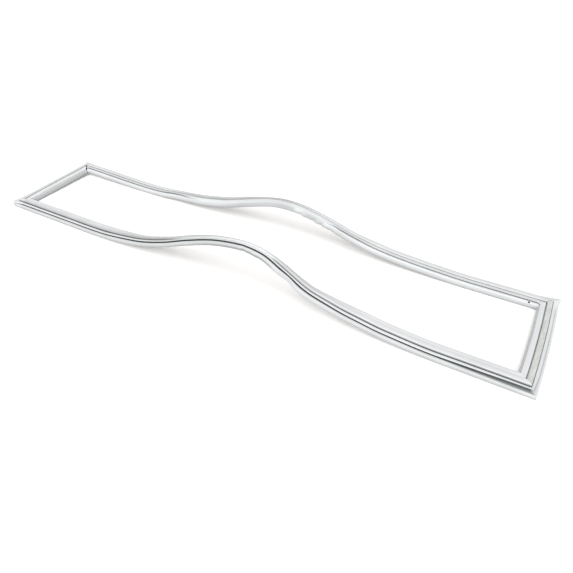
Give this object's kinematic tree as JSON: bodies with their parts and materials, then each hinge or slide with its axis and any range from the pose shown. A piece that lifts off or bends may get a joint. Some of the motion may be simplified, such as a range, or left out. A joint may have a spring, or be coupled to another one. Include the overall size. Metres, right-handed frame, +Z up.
{
  "type": "refrigerator door gasket",
  "caption": "Long rectangular magnetic door seal of soft hollow extrusion, with a raised magnet pocket between lips over bulbs, and its long sides kinked up into humps.",
  "frame": {"origin": "centre of the frame in plan, on the surface it lies on", "axes": "+X along the long sides towards the end with the vent hole, +Y across the frame to the far long side, +Z up through the magnet face"},
  "size_m": [1.038, 0.2057, 0.0866],
  "materials": {
    "vinyl": "satin",
    "bonded_ferrite": "matte"
  },
  "bodies": {
    "root": {"gasket_profile": "vinyl", "magnet_strip_near": "bonded_ferrite", "magnet_strip_far": "bonded_ferrite", "magnet_strip_left": "bonded_ferrite", "magnet_strip_right": "bonded_ferrite"}
  },
  "joints": []
}
